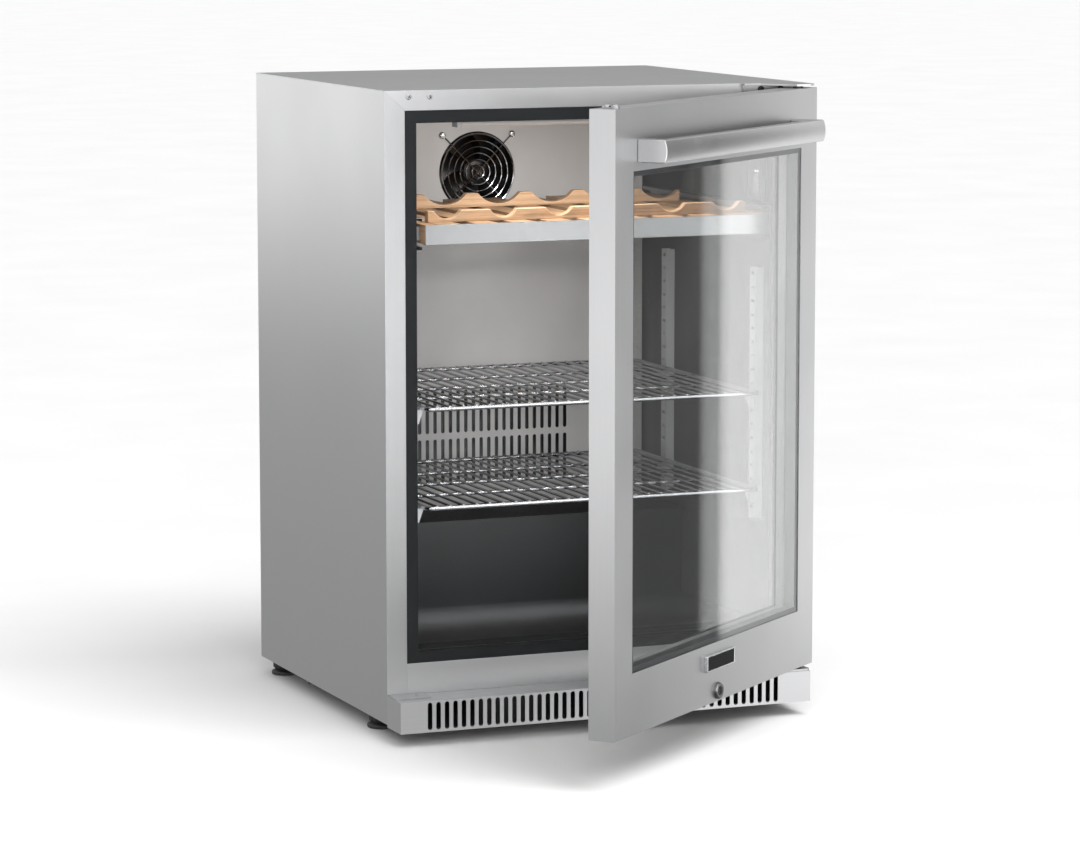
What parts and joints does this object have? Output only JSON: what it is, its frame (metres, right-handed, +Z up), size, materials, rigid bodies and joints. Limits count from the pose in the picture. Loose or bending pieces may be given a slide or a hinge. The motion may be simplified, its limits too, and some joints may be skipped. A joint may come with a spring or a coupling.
{
  "type": "undercounter refrigerator",
  "caption": "Stainless undercounter refrigerator with a glass door ajar, a full-width bar handle, a wooden wine shelf and two wire shelves.",
  "frame": {"origin": "on the floor, on the centre line of the cabinet, in the plane of the cabinet's front face", "axes": "+X to the right as seen from the front, +Y from the front face to the back, +Z up"},
  "size_m": [0.6012, 0.9414, 0.852],
  "materials": {
    "case_steel": "brushed stainless",
    "door_steel": "brushed stainless",
    "plate_steel": "satin",
    "galvanised": "galvanised",
    "foam": "matte",
    "black_trim": "matte",
    "liner_metal": "satin",
    "screw_steel": "polished",
    "strip_steel": "satin",
    "chrome_wire": "polished",
    "wine_fascia_steel": "satin",
    "beech": "satin",
    "coil_aluminium": "satin",
    "black_plastic": "satin",
    "panel_plastic": "satin",
    "button_plastic": "gloss",
    "led_lens": "gloss",
    "compressor_paint": "gloss",
    "foot_rubber": "matte",
    "door_plastic": "matte",
    "clear_glass": "polished",
    "spacer_aluminium": "satin",
    "gasket_rubber": "matte",
    "badge_metal": "polished",
    "lock_chrome": "polished",
    "bush_nylon": "satin"
  },
  "bodies": {
    "cabinet": {"back_panel": "galvanised", "base_pan": "compressor_paint", "case_screws": "screw_steel", "compressor": "compressor_paint", "condenser": "coil_aluminium", "condenser_fan_frame": "black_plastic", "control_panel": "panel_plastic", "controller_box": "black_plastic", "evaporator_coil": "coil_aluminium", "evaporator_cover": "liner_metal", "evaporator_fan_frame": "black_plastic", "fan_guard": "chrome_wire", "foam_insulation": "foam", "hinge_bracket_top": "plate_steel", "hinge_pins": "plate_steel", "hinge_plates_bottom": "plate_steel", "indicator_leds": "led_lens", "insulation_underpan": "galvanised", "interior_light": "black_trim", "liner_floor": "liner_metal", "liner_walls": "liner_metal", "lower_front_rail": "case_steel", "opening_trim": "black_trim", "pilasters": "strip_steel", "rear_grille": "galvanised", "shelf_clips": "strip_steel", "side_panel_left": "case_steel", "side_panel_right": "case_steel", "toe_kick_grille": "case_steel", "top_panel": "case_steel", "wine_rails": "strip_steel", "wire_shelf_lower": "chrome_wire", "wire_shelf_upper": "chrome_wire"},
    "door": {"door_skin": "door_steel", "door_profiles": "door_plastic", "door_inner_frame": "door_plastic", "door_glass": "clear_glass", "glass_spacer": "spacer_aluminium", "door_gasket": "gasket_rubber", "door_handle": "door_steel", "badge_plate": "badge_metal", "lock_barrel": "lock_chrome", "hinge_bushes": "bush_nylon", "spare_pivot_cap": "lock_chrome"},
    "door_lock": {"lock_plug": "lock_chrome"},
    "wine_shelf": {"wine_shelf_fascia": "wine_fascia_steel", "wine_shelf_frame": "beech", "wine_shelf_slats": "beech", "wine_shelf_cradles": "beech", "wine_shelf_runners": "wine_fascia_steel"},
    "evaporator_fan": {"evaporator_fan_rotor": "black_plastic"},
    "condenser_fan": {"condenser_fan_rotor": "black_plastic"},
    "button_1": {"control_button_1": "button_plastic"},
    "button_2": {"control_button_2": "button_plastic"},
    "button_3": {"control_button_3": "button_plastic"},
    "button_4": {"control_button_4": "button_plastic"},
    "foot_front_left_body": {"foot_front_left": "foot_rubber"},
    "foot_front_right_body": {"foot_front_right": "foot_rubber"},
    "foot_rear_left_body": {"foot_rear_left": "foot_rubber"},
    "foot_rear_right_body": {"foot_rear_right": "foot_rubber"}
  },
  "joints": [
    {"name": "door_hinge", "type": "hinge", "parent": "cabinet", "child": "door", "pos_m": [0.2755, -0.0334, 0.46], "axis": [0, 0, 1], "range_deg": [-40, 60]},
    {"name": "lock_turn", "type": "hinge", "parent": "door", "child": "door_lock", "pos_m": [0.06445, -0.21049, 0.0818], "axis": [-0.6428, 0.766, 0], "range_deg": [0, 90]},
    {"name": "wine_shelf_slide", "type": "slide", "parent": "cabinet", "child": "wine_shelf", "axis": [0, -1, 0], "range_m": [0, 0.015]},
    {"name": "evaporator_fan_spin", "type": "hinge", "parent": "cabinet", "child": "evaporator_fan", "pos_m": [0, 0.45, 0.711], "axis": [0, -1, 0], "continuous": true},
    {"name": "condenser_fan_spin", "type": "hinge", "parent": "cabinet", "child": "condenser_fan", "pos_m": [0.128, 0.43, 0.106], "axis": [-1, 0, 0], "continuous": true},
    {"name": "button_1_press", "type": "slide", "parent": "cabinet", "child": "button_1", "axis": [1, 0, 0], "range_m": [0, 0.0008], "stiffness_N_per_m": 400},
    {"name": "button_2_press", "type": "slide", "parent": "cabinet", "child": "button_2", "axis": [1, 0, 0], "range_m": [0, 0.0008], "stiffness_N_per_m": 400},
    {"name": "button_3_press", "type": "slide", "parent": "cabinet", "child": "button_3", "axis": [1, 0, 0], "range_m": [0, 0.0008], "stiffness_N_per_m": 400},
    {"name": "button_4_press", "type": "slide", "parent": "cabinet", "child": "button_4", "axis": [1, 0, 0], "range_m": [0, 0.0008], "stiffness_N_per_m": 400},
    {"name": "foot_front_left_turn", "type": "hinge", "parent": "cabinet", "child": "foot_front_left_body", "pos_m": [-0.2725, 0.092, 0.011], "axis": [0, 0, 1], "continuous": true},
    {"name": "foot_front_right_turn", "type": "hinge", "parent": "cabinet", "child": "foot_front_right_body", "pos_m": [0.2725, 0.092, 0.011], "axis": [0, 0, 1], "continuous": true},
    {"name": "foot_rear_left_turn", "type": "hinge", "parent": "cabinet", "child": "foot_rear_left_body", "pos_m": [-0.2725, 0.492, 0.011], "axis": [0, 0, 1], "continuous": true},
    {"name": "foot_rear_right_turn", "type": "hinge", "parent": "cabinet", "child": "foot_rear_right_body", "pos_m": [0.2725, 0.492, 0.011], "axis": [0, 0, 1], "continuous": true}
  ]
}
